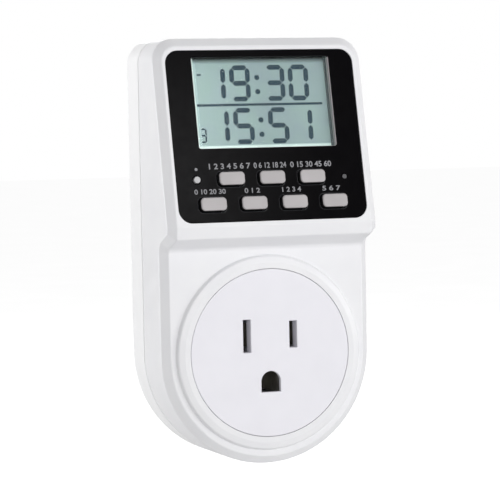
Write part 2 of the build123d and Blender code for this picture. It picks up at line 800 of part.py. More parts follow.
with BuildPart() as neutral_strap:
    with BuildSketch(strap_plane):
        with Locations((-blade_x, (strap_top + strap_foot) / 2)):
            Rectangle(strap_w, strap_top - strap_foot)
    extrude(amount=strap_t)
save(neutral_strap, "neutral_strap")

with BuildPart() as line_in_strap:
    with BuildSketch(strap_plane):
        with Locations((blade_x, (strap_top - line_blade_w / 2) / 2)):
            Rectangle(strap_w, strap_top + line_blade_w / 2)
    extrude(amount=strap_t)
save(line_in_strap, "line_in_strap")

with BuildPart() as line_out_strap:
    with BuildSketch(strap_plane):
        with Locations((output_x, (strap_top + strap_foot) / 2)):
            Rectangle(narrow_strap_w, strap_top - strap_foot)
        with Locations(((blade_x + output_x - strap_end) / 2, slot_z)):
            Rectangle(output_x - blade_x + strap_end, narrow_strap_w)
    extrude(amount=strap_t)
save(line_out_strap, "line_out_strap")

with BuildPart() as ground_strap:
    with BuildSketch(strap_plane):
        with Locations((0, slot_z / 2 - ground_drop)):
            Rectangle(ground_strap_w, 2 * strap_end - slot_z)
    extrude(amount=strap_t)
save(ground_strap, "ground_strap")

# ---- Power board ----------------------------------------------------------------------------

power_board_front = power_board_back + power_board_t
part_plane = front.offset(power_board_front)

with BuildPart() as power_board:
    with BuildSketch(front.offset(power_board_back)):
        with Locations((0, power_board_z)):
            Rectangle(power_board_w, power_board_h)
        with Locations(board_posts):
            Circle(screw_hole_r, mode=Mode.SUBTRACT)
    extrude(amount=power_board_t)
save(power_board, "power_board")

film_at, film_w, film_t, film_h, film_edge_r = (-13.0, 18.9), 18.0, 8.4, 9.5, 0.6
with BuildPart() as film_capacitor:
    with BuildSketch(part_plane):
        with Locations(film_at):
            Rectangle(film_w, film_t)
    extrude(amount=film_h)
    fillet(film_capacitor.edges().filter_by(Axis.Y), film_edge_r)
save(film_capacitor, "film_capacitor")

can_r, can_length, can_edge_r = 4.0, 12.0, 0.5
can_start = (-20.0, -power_board_front - can_r, 28.6)
with BuildPart() as electrolytic_capacitor:
    with BuildSketch(Plane(origin=can_start, x_dir=(0, 1, 0), z_dir=(1, 0, 0))):
        Circle(can_r)
    extrude(amount=can_length)
    fillet(electrolytic_capacitor.edges().filter_by(GeomType.CIRCLE), can_edge_r)
save(electrolytic_capacitor, "electrolytic_capacitor")

varistor_r, varistor_t, varistor_edge_r, varistor_z = 4.5, 3.6, 1.0, 33.2
with BuildPart() as varistor:
    with BuildSketch(Plane.XY.offset(varistor_z)):
        with Locations((0, -power_board_front - varistor_r)):
            Circle(varistor_r)
    extrude(amount=varistor_t)
    fillet(varistor.edges().filter_by(GeomType.CIRCLE), varistor_edge_r)
save(varistor, "varistor")

rectifier_at, rectifier_w, rectifier_h, rectifier_t, rectifier_bevel = (13.0, 36.4), 8.5, 6.4, 3.0, 0.4
with BuildPart() as rectifier:
    with BuildSketch(part_plane):
        with Locations(rectifier_at):
            Rectangle(rectifier_w, rectifier_h)
    extrude(amount=rectifier_t)
    chamfer(rectifier.faces().sort_by(Axis.Y)[0].edges(), rectifier_bevel)
save(rectifier, "rectifier")

link_at, link_pins, link_pitch = (-7.0, 39.9), 6, 2.0
link_h, link_t, link_pin = 2.4, 2.5, 0.64
with BuildPart() as board_link:
    with BuildSketch(part_plane):
        with Locations(link_at):
            Rectangle(link_pitch * link_pins, link_h)
    extrude(amount=link_t)
    with BuildSketch(part_plane):
        with Locations(link_at):
            with GridLocations(link_pitch, 0, link_pins, 1):
                Rectangle(link_pin, link_pin)
    extrude(amount=depth)
    # the pins end at the back of the tilted control board
    with BuildSketch(behind_panel(board_back)):
        Rectangle(2 * body_w, 2 * body_w)
    extrude(amount=depth, mode=Mode.SUBTRACT)
save(board_link, "board_link")

# ---- Relay ----------------------------------------------------------------------------------

relay_x, relay_z = 10.0, 22.6
relay_w, relay_d, relay_h = 22.0, 15.6, 12.2
base_h, cover_wall = 1.6, 0.8
base_front = power_board_front + base_h
relay_edge_r = 0.6
core_x0, core_x1 = relay_x - 8.2, relay_x + 3.4
core_y = -base_front - 4.5
core_r, winding_r = 1.6, 3.0
flange_r, flange_t, flange_back_off = 3.25, 0.8, 0.7
yoke_t, yoke_w = 1.1, 9.0
armature_t, armature_w = 1.0, 8.0
pole_gap = 0.5
core_reach = 2.3  # iron beyond the middle of the core
pivot_x, pivot_y = relay_x + 4.8, -base_front - 0.9
spring_t, spring_w = 0.4, 5.0
contact_r, contact_t = 0.7, 0.6
contact_y = core_y - 4.1

with BuildPart() as relay_base:
    with BuildSketch(part_plane):
        with Locations((relay_x, relay_z)):
            Rectangle(relay_w - 2 * cover_wall - 2 * gap, relay_d - 2 * cover_wall - 2 * gap)
    extrude(amount=base_h)
save(relay_base, "relay_base")

with BuildPart() as relay_cover:
    with BuildSketch(part_plane):
        with Locations((relay_x, relay_z)):
            Rectangle(relay_w, relay_d)
    extrude(amount=relay_h)
    fillet(relay_cover.edges().filter_by(Axis.Y), relay_edge_r)
    with BuildSketch(part_plane):
        with Locations((relay_x, relay_z)):
            Rectangle(relay_w - 2 * cover_wall, relay_d - 2 * cover_wall)
    extrude(amount=relay_h - cover_wall, mode=Mode.SUBTRACT)
save(relay_cover, "relay_cover")

core_plane = Plane(origin=(core_x0, core_y, relay_z), x_dir=(0, 1, 0), z_dir=(1, 0, 0))
with BuildPart() as relay_yoke:
    with BuildSketch(Plane.XY.offset(relay_z - yoke_w / 2)):
        with BuildLine():
            Polyline(
                (core_x0, -base_front),
                (core_x0, core_y - core_reach),
                (core_x0 + yoke_t, core_y - core_reach),
                (core_x0 + yoke_t, -base_front - yoke_t),
                (pivot_x - contact_t, -base_front - yoke_t),
                (pivot_x - contact_t, -base_front),
                close=True,
            )
        make_face()
    extrude(amount=yoke_w)
    with BuildSketch(core_plane):
        Circle(core_r)
    extrude(amount=core_x1 - core_x0)
save(relay_yoke, "relay_yoke")

with BuildPart() as relay_coil:
    with BuildSketch(core_plane.offset(yoke_t + gap)):
        Circle(winding_r)
    extrude(amount=core_x1 - core_x0 - yoke_t - gap - flange_back_off)
    # flanges of the bobbin
    for start in (yoke_t + gap, core_x1 - core_x0 - flange_t - flange_back_off):
        with BuildSketch(core_plane.offset(start)):
            Circle(flange_r)
        extrude(amount=flange_t)
    with BuildSketch(core_plane):
        Circle(core_r + gap)
    extrude(amount=core_x1 - core_x0, mode=Mode.SUBTRACT)
save(relay_coil, "relay_coil")

armature_x = core_x1 + pole_gap
armature_foot = pivot_y - 0.9
spring_foot, spring_tip = armature_foot - 0.3, contact_y - 0.8
with BuildPart() as relay_armature:
    with BuildSketch(Plane.XY.offset(relay_z - armature_w / 2)):
        with Locations((armature_x + armature_t / 2, (armature_foot + core_y - core_reach) / 2)):
            Rectangle(armature_t, armature_foot - core_y + core_reach)
    extrude(amount=armature_w)
    # contact spring on the armature's back, with the moving contact at its end
    spring_x = armature_x + armature_t + spring_t / 2
    with BuildSketch(Plane.XY.offset(relay_z - spring_w / 2)):
        with Locations((spring_x, (spring_foot + spring_tip) / 2)):
            Rectangle(spring_t, spring_foot - spring_tip)
    extrude(amount=spring_w)
    with BuildSketch(Plane(origin=(spring_x, contact_y, relay_z), z_dir=(-1, 0, 0))):
        Circle(contact_r)
    extrude(amount=spring_t / 2 + contact_t)
save(relay_armature, "relay_armature")

post_w, post_foot_z = 1.7, relay_z + 5.2
terminal_x = armature_x - contact_t
with BuildPart() as relay_terminals:
    # bar that carries the fixed contact, and its post beside the coil
    with BuildSketch(Plane.XY.offset(relay_z - spring_w / 2)):
        with Locations((terminal_x, contact_y)):
            Rectangle(contact_t, 2 * contact_r)
    extrude(amount=spring_w / 2 + post_foot_z + post_w - relay_z)
    with BuildSketch(Plane.XY.offset(post_foot_z)):
        with Locations((terminal_x, (contact_y - base_front) / 2)):
            Rectangle(contact_t, -base_front - contact_y)
    extrude(amount=post_w)
save(relay_terminals, "relay_terminals")

# ---- Screws ---------------------------------------------------------------------------------


def screw_set(seat, places, side, head, shank):
    """Screws with their heads on the seat plane; side is 1 where the shanks run to the front.

    Head and shank are each a radius and a length.
    """
    head_radius, head_h = head
    shank_radius, length = shank
    with BuildPart() as screws:
        with BuildSketch(seat):
            with Locations(places):
                Circle(head_radius)
        extrude(amount=-side * head_h)
        outer_rims = screws.edges().group_by(Axis((0, 0, 0), tuple(seat.z_dir * side)))[0]
        chamfer(outer_rims, head_h / 4)
        with BuildSketch(seat):
            with Locations(places):
                Circle(shank_radius)
        extrude(amount=side * length)
        # cross recess in every head
        with BuildSketch(seat.offset(-side * head_h)):
            with Locations(places):
                Rectangle(1.3 * head_radius, 0.25 * head_radius)
                Rectangle(0.25 * head_radius, 1.3 * head_radius)
        extrude(amount=side * head_h / 2, mode=Mode.SUBTRACT)
    return screws


small_head, small_shank_r = (1.8, 1.2), 0.8
housing_places = top_posts + bottom_posts
save(
    screw_set(front.offset(head_seat), housing_places, 1, (2.3, 1.9), (1.3, 13.0)),
    "housing_screws",
)
save(
    screw_set(part_plane, board_posts, -1, small_head, (small_shank_r, power_screw_length)),
    "power_board_screws",
)
save(
    screw_set(
        behind_panel(board_back), board_bosses, 1, small_head, (small_shank_r, board_screw_length)
    ),
    "control_board_screws",
)
save(
    screw_set(
        block_plane.offset(-cover_t), cover_screws, 1, (1.8, 0.7), (small_shank_r, cover_screw_length)
    ),
    "socket_screws",
)
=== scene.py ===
"""Plug-in timer switch: its finish, printing and display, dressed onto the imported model.

Metres, in the model's own frame: the origin is on the wall face midway between the two blades,
+X is to the right seen from the front, +Y points into the wall and +Z is up.
"""

import json
from math import cos, pi, radians, sin

import bpy
import numpy as np
from mathutils import Matrix, Vector


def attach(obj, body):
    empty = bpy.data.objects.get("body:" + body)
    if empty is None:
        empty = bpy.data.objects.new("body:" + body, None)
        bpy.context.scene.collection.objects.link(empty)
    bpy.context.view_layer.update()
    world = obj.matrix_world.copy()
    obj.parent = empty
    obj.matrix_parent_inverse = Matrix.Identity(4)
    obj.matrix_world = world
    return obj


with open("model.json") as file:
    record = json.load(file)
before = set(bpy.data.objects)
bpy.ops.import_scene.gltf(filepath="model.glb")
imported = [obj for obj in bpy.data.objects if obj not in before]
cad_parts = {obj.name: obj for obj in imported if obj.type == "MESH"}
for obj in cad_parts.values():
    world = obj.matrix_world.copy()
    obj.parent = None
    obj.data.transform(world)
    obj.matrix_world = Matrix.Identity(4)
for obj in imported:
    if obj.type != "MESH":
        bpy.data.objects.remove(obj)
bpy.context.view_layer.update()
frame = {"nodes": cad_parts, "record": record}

MM = 0.001
HOUSING = "housing"

# ---- Face panel's own axes -------------------------------------------------------------------

TILT = radians(12.4)
PANEL_MIDDLE = np.array([0.0, -28.1, 31.5])
ACROSS = np.array([1.0, 0.0, 0.0])
UPWARD = np.array([0.0, sin(TILT), cos(TILT)])
OUTWARD = np.array([0.0, -cos(TILT), sin(TILT)])
# Heights, in mm along OUTWARD from the white rim of the panel.
PANEL_FACE = -0.15
PANE_FRONT, PANE_BACK = -0.94, -1.77
LCD_FACE = -2.6
KEY_LIGHT_TOP_LOW = 1.07  # where the light top of a key ends and its near-black flanks begin
# The window opening in the panel: its middle, in mm across and up, and its size.
WINDOW_U, WINDOW_V = 0.28, 8.7
WINDOW_W, WINDOW_H = 37.7, 23.9


def on_panel(u, v, h):
    """Point u across, v up and h out of the panel's plane: middle + u across + v up + h outward."""
    u, v, h = np.broadcast_arrays(u, v, h)
    return MM * (PANEL_MIDDLE + u[..., None] * ACROSS + v[..., None] * UPWARD + h[..., None] * OUTWARD)


# ---- Meshes ----------------------------------------------------------------------------------


def piece(name, points, faces, body, finish, slot):
    """Makes one named piece from its points and faces, gives it a finish and lets it ride."""
    mesh = bpy.data.meshes.new(name)
    mesh.from_pydata(points.tolist(), [], faces)
    mesh.validate()
    mesh.materials.append(finish)
    obj = bpy.data.objects.new(name, mesh)
    bpy.context.scene.collection.objects.link(obj)
    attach(obj, body)
    return obj


def ring_faces(rows, columns, first=0):
    """Quads between neighbouring rows of a grid whose rows close on themselves."""
    r, c = np.meshgrid(np.arange(rows - 1), np.arange(columns), indexing="ij")
    low, high, n = r * columns, (r + 1) * columns, (c + 1) % columns
    quads = np.stack([low + c, low + n, high + n, high + c], -1)
    return (first + quads.reshape(-1, 4)).tolist()


def tube_faces(rows, columns, first=0):
    """The quads of ring_faces, and those that join the last row to the first one."""
    i = np.arange(columns)
    j = (i + 1) % columns
    last = (rows - 1) * columns
    seam = np.stack([last + i, last + j, j, i], -1)
    return ring_faces(rows, columns, first) + (first + seam).tolist()


def slabs(outlines, low, high):
    """Flat solids on the panel: outlines, counter-clockwise from the front, carried from low to high.

    Point (row, i) is outline point i at height low on row 0 and high on row 1; both ends are capped.
    """
    points, faces, first = [], [], 0
    for outline in outlines:
        outline = np.asarray(outline, float)
        n = len(outline)
        for h in (low, high):
            points.append(on_panel(outline[:, 0], outline[:, 1], h))
        faces += ring_faces(2, n, first)
        faces += [list(range(first + n, first + 2 * n)), list(range(first + n - 1, first - 1, -1))]
        first += 2 * n
    return np.concatenate(points), faces


def frames(outer, inner, low, high):
    """One closed ring on the panel: up the outer outline, down the inner one, and back to the start."""
    rows = [(outer, low), (outer, high), (inner, high), (inner, low)]
    points = np.concatenate([on_panel(line[:, 0], line[:, 1], h) for line, h in rows])
    return points, tube_faces(len(rows), len(outer))


def rounded(cx, cy, w, h, r, steps=6):
    """Rounded rectangle: a quarter circle of radius r, in steps, round each of its four corners."""
    turn = np.linspace(0, pi / 2, steps + 1)
    corners = [(1, 1), (-1, 1), (-1, -1), (1, -1)]
    arcs = [
        np.stack(
            [cx + sx * (w / 2 - r) + r * np.cos(turn + k * pi / 2),
             cy + sy * (h / 2 - r) + r * np.sin(turn + k * pi / 2)], -1)
        for k, (sx, sy) in enumerate(corners)
    ]
    return np.concatenate(arcs)


def disc(cx, cy, r, steps=20):
    """Circle of radius r as a polygon of that many steps."""
    turn = np.arange(steps) * 2 * pi / steps
    return np.stack([cx + r * np.cos(turn), cy + r * np.sin(turn)], -1)


# ---- Materials -------------------------------------------------------------------------------


def rgb(code):
    """Linear RGBA of an sRGB hex colour."""
    s = np.array([int(code[i:i + 2], 16) for i in (1, 3, 5)]) / 255
    return (*np.where(s <= 0.04045, s / 12.92, ((s + 0.055) / 1.055) ** 2.4), 1.0)


def add(tree, kind, sockets=(), **settings):
    """Adds one node: its own settings, then each socket's value, or its link where one is given."""
    node = tree.nodes.new(kind)
    for key, value in settings.items():
        setattr(node, key, value)
    for key, value in dict(sockets).items():
        if isinstance(value, bpy.types.NodeSocket):
            tree.links.new(value, node.inputs[key])
        else:
            node.inputs[key].default_value = value
    return node


def new_material(name):
    """Empty node material, and its tree with an output waiting for a surface."""
    material = bpy.data.materials.new(name)
    material.use_nodes = True
    material.node_tree.nodes.clear()
    return material, material.node_tree


def close(tree, shader):
    """Links the shader to the material's output."""
    add(tree, "ShaderNodeOutputMaterial", {"Surface": shader})


def object_point(tree):
    """The piece's own coordinates, in metres."""
    return add(tree, "ShaderNodeTexCoord").outputs["Object"]


def noise(tree, point, size_mm, detail=2.0):
    """Noise whose blobs are about size_mm across, as a value round one half."""
    return add(
        tree, "ShaderNodeTexNoise",
        {"Vector": point, "Scale": 1 / (size_mm * MM), "Detail": detail, "Roughness": 0.5},
    ).outputs["Fac"]


def spread(tree, value, low, high):
    """The noise's middle range, 0.3 to 0.7, stretched to low to high."""
    return add(
        tree, "ShaderNodeMapRange",
        {"Value": value, "From Min": 0.3, "From Max": 0.7, "To Min": low, "To Max": high},
    ).outputs["Result"]


def blend_colour(tree, share, first, second):
    """Mixes two colours, or colour sockets, by share."""
    mix = add(tree, "ShaderNodeMix", {0: share}, data_type="RGBA")
    for socket, value in ((mix.inputs[6], first), (mix.inputs[7], second)):
        if isinstance(value, bpy.types.NodeSocket):
            tree.links.new(value, socket)
        else:
            socket.default_value = value
    return mix.outputs[2]


def inside(tree, point, origin, direction, clear, full):
    """How far a point lies along the direction from origin, as a share: 0 at clear mm, 1 at full mm."""
    offset = add(
        tree, "ShaderNodeVectorMath", {0: point, 1: tuple(origin * MM)}, operation="SUBTRACT"
    ).outputs[0]
    along = add(
        tree, "ShaderNodeVectorMath", {0: offset, 1: tuple(direction)}, operation="DOT_PRODUCT"
    ).outputs["Value"]
    return add(
        tree, "ShaderNodeMapRange",
        {"Value": along, "From Min": clear * MM, "From Max": full * MM, "To Min": 0.0, "To Max": 1.0},
    ).outputs["Result"]


PLASTIC_IOR = 1.5


def moulded(name, body, shade, rough, grain_mm, depth_mm, second=None, **fixed):
    """Injection-moulded plastic: faint uneven tint, roughness that drifts, and a fine mould texture.

    second is another colour with the origin, direction and depths in mm over which it takes over.
    """
    material, tree = new_material(name)
    point = object_point(tree)
    tint = blend_colour(tree, spread(tree, noise(tree, point, 9.0), 0, 1), rgb(body), rgb(shade))
    if second:
        other, *where = second
        tint = blend_colour(tree, inside(tree, point, *where), tint, rgb(other))
    gloss = spread(tree, noise(tree, point, 3.0, 4.0), rough * 0.85, rough * 1.15)
    bump = add(
        tree, "ShaderNodeBump",
        {"Height": noise(tree, point, grain_mm, 3.0), "Distance": depth_mm * MM, "Strength": 0.6},
    ).outputs["Normal"]
    shader = add(
        tree, "ShaderNodeBsdfPrincipled",
        {"Base Color": tint, "Roughness": gloss, "Normal": bump, "IOR": PLASTIC_IOR, **fixed},
    )
    close(tree, shader.outputs[0])
    return material


def metal(name, body, shade, rough, streak, depth_mm=0.004):
    """Worked metal: roughness and bump run in streaks along the directions whose scale is small; the tint
    drifts in patches.
    """
    material, tree = new_material(name)
    point = object_point(tree)
    stretched = add(tree, "ShaderNodeMapping", {"Vector": point, "Scale": streak}).outputs[0]
    lines = noise(tree, stretched, 1.0, 4.0)
    worn = noise(tree, point, 4.0, 3.0)
    tint = blend_colour(tree, spread(tree, worn, 0, 1), rgb(body), rgb(shade))
    gloss = spread(tree, lines, rough * 0.85, rough * 1.25)
    bump = add(
        tree, "ShaderNodeBump", {"Height": lines, "Distance": depth_mm * MM, "Strength": 0.4}
    ).outputs["Normal"]
    shader = add(
        tree, "ShaderNodeBsdfPrincipled",
        {"Base Color": tint, "Metallic": 1.0, "Roughness": gloss, "Normal": bump},
    )
    close(tree, shader.outputs[0])
    return material


# Glossy white ABS from a polished mould: a cool white that stays plain, with soft wide highlights.
white_abs = moulded("abs_white_polished_mould", "#F0F0F2", "#EDEDF0", 0.34, 2.2, 0.0015)
# The rear shell in the same ABS: a touch whiter than the front one.
rear_abs = moulded("abs_white_rear_shell", "#FBFBFC", "#F9F9FA", 0.34, 2.4, 0.0015)
# White polyamide of the outlet, which has to stand heat: a touch cooler and less glossy.
white_nylon = moulded("polyamide_white_moulded", "#EFEEF4", "#ECEBF1", 0.36, 2.0, 0.0015)
# Face panel in black polycarbonate with a hard anti-reflection coat: smooth, and deep black.
black_panel = moulded(
    "polycarbonate_black_hard_coated", "#030204", "#050406", 0.16, 2.5, 0.0008,
    **{"Specular IOR Level": 0.03},
)
# The same polycarbonate without the coat, where the key holes are cut: the rims catch a little light.
black_rim = moulded(
    "polycarbonate_black_polished_edge", "#1E1E22", "#222226", 0.22, 1.0, 0.0003,
    **{"Specular IOR Level": 0.35},
)
# Keys in grey silicone rubber, light grey on top and near black on the flanks: the colour changes just
# below the top.
key_grey = moulded(
    "silicone_key_light_top_dark_flanks", "#BAB6B7", "#B0ACAD", 0.5, 0.5, 0.006,
    second=("#0E0E10", PANEL_MIDDLE, -OUTWARD, -KEY_LIGHT_TOP_LOW, -KEY_LIGHT_TOP_LOW + 0.12),
)
# Reset button in ABS with a finely textured cap, a duller white than the housing.
reset_white = moulded("abs_white_button", "#CECED0", "#C2C2C4", 0.45, 0.6, 0.004)
# Screen-printed ink: dull and very slightly uneven.
print_white = moulded("screen_ink_white", "#9A9A9E", "#8C8C90", 0.6, 0.5, 0.002)
# Light liner of the window opening, with painted shade along its upper edge, where the panel shades it.
liner_grey = moulded(
    "polycarbonate_grey_liner", "#ECE5E8", "#E2DBDE", 0.5, 0.8, 0.003,
    second=("#2E3032", PANEL_MIDDLE, UPWARD, 20.25, 20.4),
)
# Dark grey foam strip that seals the display cell, and partly painted shade: it stands in for the shadow
# at the foot of the window's right wall.
gasket_and_shade_foam = moulded("foam_dark_gasket_and_painted_shade", "#4E5759", "#464E51", 0.7, 0.6, 0.01)
# Plastics, coatings and films of the inner parts.
natural_nylon = moulded("polyamide_natural", "#D9D4C6", "#CFC9B8", 0.42, 0.8, 0.004)
strip_rubber = moulded("silicone_strip", "#D2CBBE", "#C4BDAF", 0.6, 0.6, 0.005)
chip_epoxy = moulded("epoxy_black_moulded", "#1C1C1D", "#242425", 0.55, 0.4, 0.006)
switch_black = moulded("polyamide_black", "#17171A", "#202024", 0.45, 0.6, 0.005)
light_pipe = moulded("acrylic_light_pipe", "#4E4E52", "#464649", 0.2, 0.8, 0.002)
capacitor_box = moulded("polyester_box_yellow", "#D8A51C", "#C99712", 0.3, 0.8, 0.004)
capacitor_sleeve = moulded("pvc_sleeve_navy", "#1B2034", "#23293F", 0.3, 1.0, 0.003)
varistor_epoxy = moulded("epoxy_dipped_blue", "#2B4FA0", "#234490", 0.28, 1.2, 0.01)
relay_case = moulded("pbt_relay_blue", "#23487C", "#1E3F6E", 0.35, 0.8, 0.004)
board_laminate = moulded("laminate_green_mask", "#12512C", "#0E4526", 0.32, 0.8, 0.004)
winding = moulded("enamelled_wire_winding", "#8A4A20", "#6F3817", 0.35, 0.4, 0.01)
reflector_film = moulded("polyester_reflector_film", "#BFC8C5", "#B3BDBA", 0.4, 0.8, 0.003)
# Driven segments of the display: dark slate, with no gloss of their own.
slate_ink = moulded(
    "liquid_crystal_dark", "#2D3D4A", "#283743", 0.4, 1.2, 0.0005, **{"Specular IOR Level": 0.05},
)
# Rolled brass strip, stamped and tumbled: fine lines along the blades.
blade_brass = metal("brass_rolled_blade", "#D9B876", "#C8A35E", 0.34, (3.0, 0.35, 3.0))
# Contact brass with a dull tin plating, which keeps it from tarnishing in the outlet.
contact_brass = metal("brass_tin_plated_contact", "#A9A7A0", "#97958E", 0.38, (2.0, 2.0, 0.4))
# Steel of the screws and cans, and nickel-plated iron of the relay: cool grey, with fine tool lines.
screw_steel = metal("steel_zinc_plated", "#C2C4C6", "#AEB1B4", 0.34, (2.0, 2.0, 2.0))
steel_can = metal("steel_drawn_can", "#CBCBC9", "#BCBCBA", 0.25, (0.5, 2.0, 2.0))
soft_iron = metal("iron_nickel_plated", "#A9AAA8", "#979895", 0.35, (2.0, 0.6, 2.0))


def lcd_polariser_finish():
    """Green-grey polariser film over the reflector: lighter at the left, greyer at the right.

    Its left and lower margins are lighter still, a painted highlight of light off the glass edge, and its
    upper edge darkens into a painted shadow, the shade cast by the window's top wall.
    """
    left_margin, low_margin, shadow_start, shadow_full = 16.95, 2.05, 19.2, 20.6  # mm from the panel's middle
    material, tree = new_material("acetate_polariser_film")
    point = object_point(tree)
    share = inside(tree, point, PANEL_MIDDLE, ACROSS, -16.0, 1.0)
    across = blend_colour(tree, share, rgb("#A0ADB1"), rgb("#8E989E"))
    mottled = spread(tree, noise(tree, point, 5.0, 2.0), 0.0, 0.4)
    tint = blend_colour(tree, mottled, across, rgb("#9AAEA3"))
    # Painted highlight: the left and lower margins lighten, as light off the glass edge would.
    for direction, edge in ((-ACROSS, left_margin), (-UPWARD, low_margin)):
        painted_edge_highlight = inside(tree, point, PANEL_MIDDLE, direction, edge - 0.1, edge + 0.1)
        tint = blend_colour(tree, painted_edge_highlight, tint, rgb("#B4C4C5"))
    # Painted shadow: the film darkens towards its upper edge, where the window's top wall shades it.
    painted_top_shadow = inside(tree, point, PANEL_MIDDLE, UPWARD, shadow_start, shadow_full)
    shader = add(
        tree, "ShaderNodeBsdfPrincipled",
        {"Base Color": blend_colour(tree, painted_top_shadow, tint, rgb("#0C1012")), "Roughness": 0.35,
         "Specular IOR Level": 0.03},
    )
    close(tree, shader.outputs[0])
    return material


def clear_pane_finish():
    """Clear acrylic pane with an anti-glare coat: bends what is seen and mirrors little of the lamps.

    Lamp rays pass it straight, so that it casts no shadow on the display.
    """
    material, tree = new_material("acrylic_clear_pane")
    point = object_point(tree)
    haze = spread(tree, noise(tree, point, 6.0), 0.09, 0.12)
    glass = add(
        tree, "ShaderNodeBsdfPrincipled",
        {"Base Color": rgb("#F4FAF8"), "Roughness": haze, "IOR": 1.49, "Transmission Weight": 1.0,
         "Specular IOR Level": 0.03, "Specular Tint": rgb("#505050")},
    ).outputs[0]
    open_way = add(tree, "ShaderNodeBsdfTransparent", {"Color": rgb("#F2F8F6")}).outputs[0]
    lamp_ray = add(tree, "ShaderNodeLightPath").outputs["Is Shadow Ray"]
    close(tree, add(tree, "ShaderNodeMixShader", {0: lamp_ray, 1: glass, 2: open_way}).outputs[0])
    return material


def lcd_glass_finish():
    """Float glass of the display cell, pale grey-green where the film leaves its margins open: partly
    painted highlight.
    """
    return moulded("float_glass_lcd_cell", "#DDE6E3", "#D2DCDA", 0.15, 1.0, 0.0)


FINISHES = {
    "white_abs": white_abs, "white_nylon": white_nylon, "black_panel": black_panel,
    "clear_pane": clear_pane_finish(), "lcd_cell": lcd_glass_finish(), "reflector_film": reflector_film,
    "natural_nylon": natural_nylon, "strip_rubber": strip_rubber, "board_laminate": board_laminate,
    "chip_epoxy": chip_epoxy, "steel_can": steel_can, "light_pipe": light_pipe,
    "switch_black": switch_black, "contact_brass": contact_brass, "blade_brass": blade_brass,
    "capacitor_box": capacitor_box, "capacitor_sleeve": capacitor_sleeve,
    "varistor_epoxy": varistor_epoxy, "relay_case": relay_case, "soft_iron": soft_iron,
    "winding": winding, "screw_steel": screw_steel, "key_grey": key_grey, "reset_white": reset_white,
}

OWN_FINISHES = {"rear_cover": rear_abs}  # nodes that don't look quite like the rest of their slot

for row in frame["record"]["subparts"]:
    materials = frame["nodes"][row["node"]].data.materials
    materials.clear()
    materials.append(OWN_FINISHES.get(row["node"], FINISHES[row["material_slot"]]))

# ---- Display ---------------------------------------------------------------------------------

FILM_T, SEGMENT_T = 0.12, 0.03
FILM_FACE = LCD_FACE + FILM_T
film = rounded(0.45, 9.45, 35.9, 23.3, 0.1, 1)
polariser = lcd_polariser_finish()
piece("lcd_polariser", *slabs([film], LCD_FACE, FILM_FACE), HOUSING, polariser, "lcd_cell")

SEGMENTS = {"0": "abcdef", "1": "bc", "3": "abcdg", "5": "acdfg", "9": "abcdfg", "-": "g"}
LEAN, JOINT_GAP = 0.035, 0.08


def seven_segments(digit, left, base, w, h, t):
    """Outlines of one seven-segment digit: six-sided bars of thickness t.

    A bar's tip stops JOINT_GAP t short of its joint. A point at height y above the base moves right by
    LEAN y.
    """
    gap = JOINT_GAP * t
    half = (h - t) / 2

    def bar(x, y, length, upright):
        """Six-sided bar from x, y, whose middle line is of that length from tip to tip."""
        along = np.array([0, t / 2, length - t / 2, length, length - t / 2, t / 2])
        side = np.array([0, -t / 2, -t / 2, 0, t / 2, t / 2])
        return np.stack([x - side, y + along] if upright else [x + along, y + side], -1)

    left_row, right_row = left + t / 2, left + w - t / 2
    low, middle, top = base + t / 2, base + t / 2 + half, base + h - t / 2
    wide, tall = w - t - 2 * gap, half - 2 * gap
    spots = {
        "a": (left_row + gap, top, wide, False),
        "b": (right_row, middle + gap, tall, True),
        "c": (right_row, low + gap, tall, True),
        "d": (left_row + gap, low, wide, False),
        "e": (left_row, low + gap, tall, True),
        "f": (left_row, middle + gap, tall, True),
        "g": (left_row + gap, middle, wide, False),
    }
    lines = [bar(*spots[s]) for s in SEGMENTS[digit]]
    return [np.stack([line[:, 0] + LEAN * (line[:, 1] - base), line[:, 1]], -1) for line in lines]


DIGIT_W, DIGIT_H, BAR_T = 5.6, 9.5, 1.28
COLUMNS = (-14.9, -8.15, 1.4, 8.0)  # left edges of the four digits
UPPER_BASE, LOWER_BASE = 9.3, -1.9
COLON_U, COLON_RISE, COLON_STEP, COLON_R = -0.5, 2.5, 3.75, 0.7
SMALL_BAR_T = 0.42
marks = []
for base, digits in ((UPPER_BASE, "1930"), (LOWER_BASE, "1551")):
    for left, digit in zip(COLUMNS, digits):
        marks += seven_segments(digit, left, base, DIGIT_W, DIGIT_H, BAR_T)
    marks += [disc(COLON_U + 0.1 * k, base + COLON_RISE + COLON_STEP * k, COLON_R) for k in (0, 1)]
marks += [rounded(-0.2, 8.42, 34.4, 0.64, 0.1, 2)]  # line between the two times
marks += seven_segments("-", -17.1, 14.4, 1.8, 4.0, SMALL_BAR_T)
marks += seven_segments("3", -17.25, -1.35, 1.7, 3.8, SMALL_BAR_T)
piece("lcd_segments", *slabs(marks, FILM_FACE, FILM_FACE + SEGMENT_T), HOUSING, slate_ink, "lcd_cell")

# Dark gasket down the right of the film, partly painted shade for the shadow at the foot of the window's
# right wall, and the light liner of the window opening: it is thickest at the sides, and only a skin
# above.
# The pane divides it into a front and a back part.
GASKET_U, GASKET_W, GASKET_T = 18.72, 0.6, 0.35
gasket = rounded(GASKET_U, WINDOW_V, GASKET_W, 24.4, 0.1, 1)
